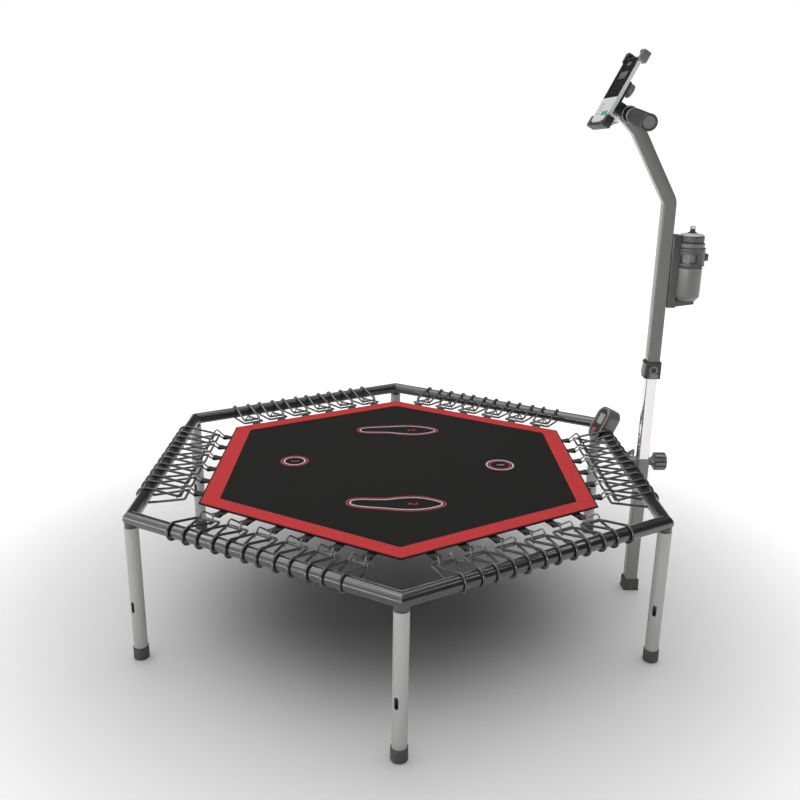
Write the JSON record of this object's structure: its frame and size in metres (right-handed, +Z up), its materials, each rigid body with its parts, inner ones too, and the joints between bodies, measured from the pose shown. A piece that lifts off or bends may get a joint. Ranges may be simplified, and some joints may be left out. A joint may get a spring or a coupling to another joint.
{
  "type": "fitness trampoline",
  "caption": "Hexagonal fitness trampoline on short legs, with a bungee-hung mat, a telescopic T handlebar, a bottle holder, a phone holder and a jump counter.",
  "frame": {"origin": "middle of the bounding box, on the floor", "axes": "+Z up; +X towards the handlebar, the way the person on the mat looks; +Y to that person's left"},
  "size_m": [1.2473, 1.2934, 1.2468],
  "materials": {
    "black_paint": "semi-gloss",
    "leg_paint": "semi-gloss",
    "rubber": "matte",
    "post_paint": "semi-gloss",
    "chrome": "polished",
    "black_plastic": "satin",
    "grey_plastic": "satin",
    "mat_cloth": "woven",
    "border_cloth": "coated cloth",
    "webbing": "woven",
    "cord": "braided",
    "foam": "foam",
    "bottle_plastic": "satin",
    "cap_plastic": "satin",
    "phone_glass": "gloss",
    "red_button": "gloss",
    "steel": "plated"
  },
  "bodies": {
    "frame": {"rim_tube_right": "black_paint", "rim_tube_back_right": "black_paint", "rim_tube_back_left": "black_paint", "rim_tube_left": "black_paint", "rim_tube_front_left": "black_paint", "rim_tube_front_right": "black_paint", "leg_front_right": "leg_paint", "leg_back_right": "leg_paint", "leg_back": "leg_paint", "leg_back_left": "leg_paint", "leg_front_left": "leg_paint", "leg_front": "leg_paint", "leg_foot_front_right": "rubber", "leg_foot_back_right": "rubber", "leg_foot_back": "rubber", "leg_foot_back_left": "rubber", "leg_foot_front_left": "rubber", "leg_foot_front": "rubber", "bungee_right": "cord", "bungee_back_right": "cord", "bungee_back_left": "cord", "bungee_left": "cord", "bungee_front_left": "cord", "bungee_front_right": "cord", "upright_socket": "post_paint", "upright_foot": "rubber", "rim_bracket": "post_paint"},
    "mat": {"mat_fabric": "mat_cloth", "mat_border": "border_cloth", "hook_strip_right": "webbing", "hook_strip_back_right": "webbing", "hook_strip_back_left": "webbing", "hook_strip_left": "webbing", "hook_strip_front_left": "webbing", "hook_strip_front_right": "webbing"},
    "telescope": {"inner_tube": "chrome"},
    "clamp_screw": {"lock_screw": "steel"},
    "clamp_knob": {"lock_knob": "black_plastic"},
    "handlebar": {"upper_post": "post_paint", "post_collar": "grey_plastic", "t_bar": "post_paint", "grip_front": "foam", "grip_back": "foam", "grip_cap_front": "black_plastic", "grip_cap_back": "black_plastic", "bottle_cage": "black_plastic"},
    "post_button": {"snap_button": "black_plastic"},
    "bottle": {"bottle_body": "bottle_plastic"},
    "bottle_lid": {"bottle_cap": "cap_plastic"},
    "bottle_spout": {"bottle_nozzle": "grey_plastic"},
    "phone_clamp": {"phone_bar_clamp": "black_plastic"},
    "phone_holder": {"phone_cradle": "black_plastic", "phone": "phone_glass"},
    "upper_claws": {"cradle_upper_claws": "black_plastic"},
    "lower_claws": {"cradle_lower_claws": "black_plastic"},
    "wheel": {"claw_wheel": "black_plastic"},
    "counter": {"counter_strap": "webbing", "counter_case": "grey_plastic", "counter_face": "black_plastic"},
    "counter_key": {"counter_button": "red_button"}
  },
  "joints": [
    {"name": "mat_bounce", "type": "slide", "parent": "frame", "child": "mat", "axis": [0, 0, 1], "range_m": [-0.15, 0], "stiffness_N_per_m": 6700, "springref_m": 0.012, "deforming": ["bungee_right", "bungee_back_right", "bungee_back_left", "bungee_left", "bungee_front_left", "bungee_front_right"]},
    {"name": "telescope_slide", "type": "slide", "parent": "frame", "child": "telescope", "axis": [0, 0, 1], "range_m": [-0.1, 0.05]},
    {"name": "screw_advance", "type": "slide", "parent": "frame", "child": "clamp_screw", "axis": [1, 0, 0], "range_m": [0, 0.0026]},
    {"name": "knob_turn", "type": "hinge", "parent": "clamp_screw", "child": "clamp_knob", "pos_m": [0.53992, 0, 0.3357], "axis": [1, 0, 0], "range_deg": [0, 720]},
    {"name": "post_slide", "type": "slide", "parent": "telescope", "child": "handlebar", "axis": [0, 0, 1], "range_m": [-0.08, 0.05]},
    {"name": "button_press", "type": "slide", "parent": "handlebar", "child": "post_button", "axis": [0, 1, 0], "range_m": [0, 0.003], "stiffness_N_per_m": 600, "springref_m": -0.001},
    {"name": "bottle_lift", "type": "slide", "parent": "handlebar", "child": "bottle", "axis": [0, 0, 1], "range_m": [0, 0.13]},
    {"name": "cap_turn", "type": "hinge", "parent": "bottle", "child": "bottle_lid", "pos_m": [0.58522, 0, 0.853], "axis": [0, 0, 1], "range_deg": [0, 360]},
    {"name": "nozzle_pull", "type": "slide", "parent": "bottle_lid", "child": "bottle_spout", "axis": [0, 0, 1], "range_m": [0, 0.006]},
    {"name": "holder_tilt", "type": "hinge", "parent": "handlebar", "child": "phone_clamp", "pos_m": [0.41324, -0.029, 1.12024], "axis": [0, 1, 0], "range_deg": [-25, 25]},
    {"name": "holder_swivel", "type": "hinge", "parent": "phone_clamp", "child": "phone_holder", "pos_m": [0.38478, -0.02901, 1.1347], "axis": [-0.8602, -0.1486, 0.4879], "range_deg": [0, 90]},
    {"name": "wheel_turn", "type": "hinge", "parent": "phone_holder", "child": "wheel", "pos_m": [0.40457, -0.02337, 1.17131], "axis": [-0.8602, -0.1486, 0.4879], "range_deg": [0, 270]},
    {"name": "upper_claw_slide", "type": "slide", "parent": "phone_holder", "child": "upper_claws", "axis": [0.4712, 0.1345, 0.8717], "range_m": [0, 0.0101]},
    {"name": "lower_claw_slide", "type": "slide", "parent": "phone_holder", "child": "lower_claws", "axis": [-0.4712, -0.1345, -0.8717], "range_m": [0, 0.0101]},
    {"name": "counter_tilt", "type": "hinge", "parent": "frame", "child": "counter", "pos_m": [0.48942, 0.238, 0.3235], "axis": [0, 1, 0], "range_deg": [-15, 15]},
    {"name": "counter_press", "type": "slide", "parent": "counter", "child": "counter_key", "axis": [0.8464, 0.2653, -0.4617], "range_m": [0, 0.0015], "stiffness_N_per_m": 500, "springref_m": -0.0008}
  ],
  "couplings": [
    {"joint": "screw_advance", "follows": "knob_turn", "m_per_rad": 0.00019894},
    {"joint": "upper_claw_slide", "follows": "wheel_turn", "m_per_rad": 0.0021221},
    {"joint": "lower_claw_slide", "follows": "wheel_turn", "m_per_rad": 0.0021221}
  ]
}
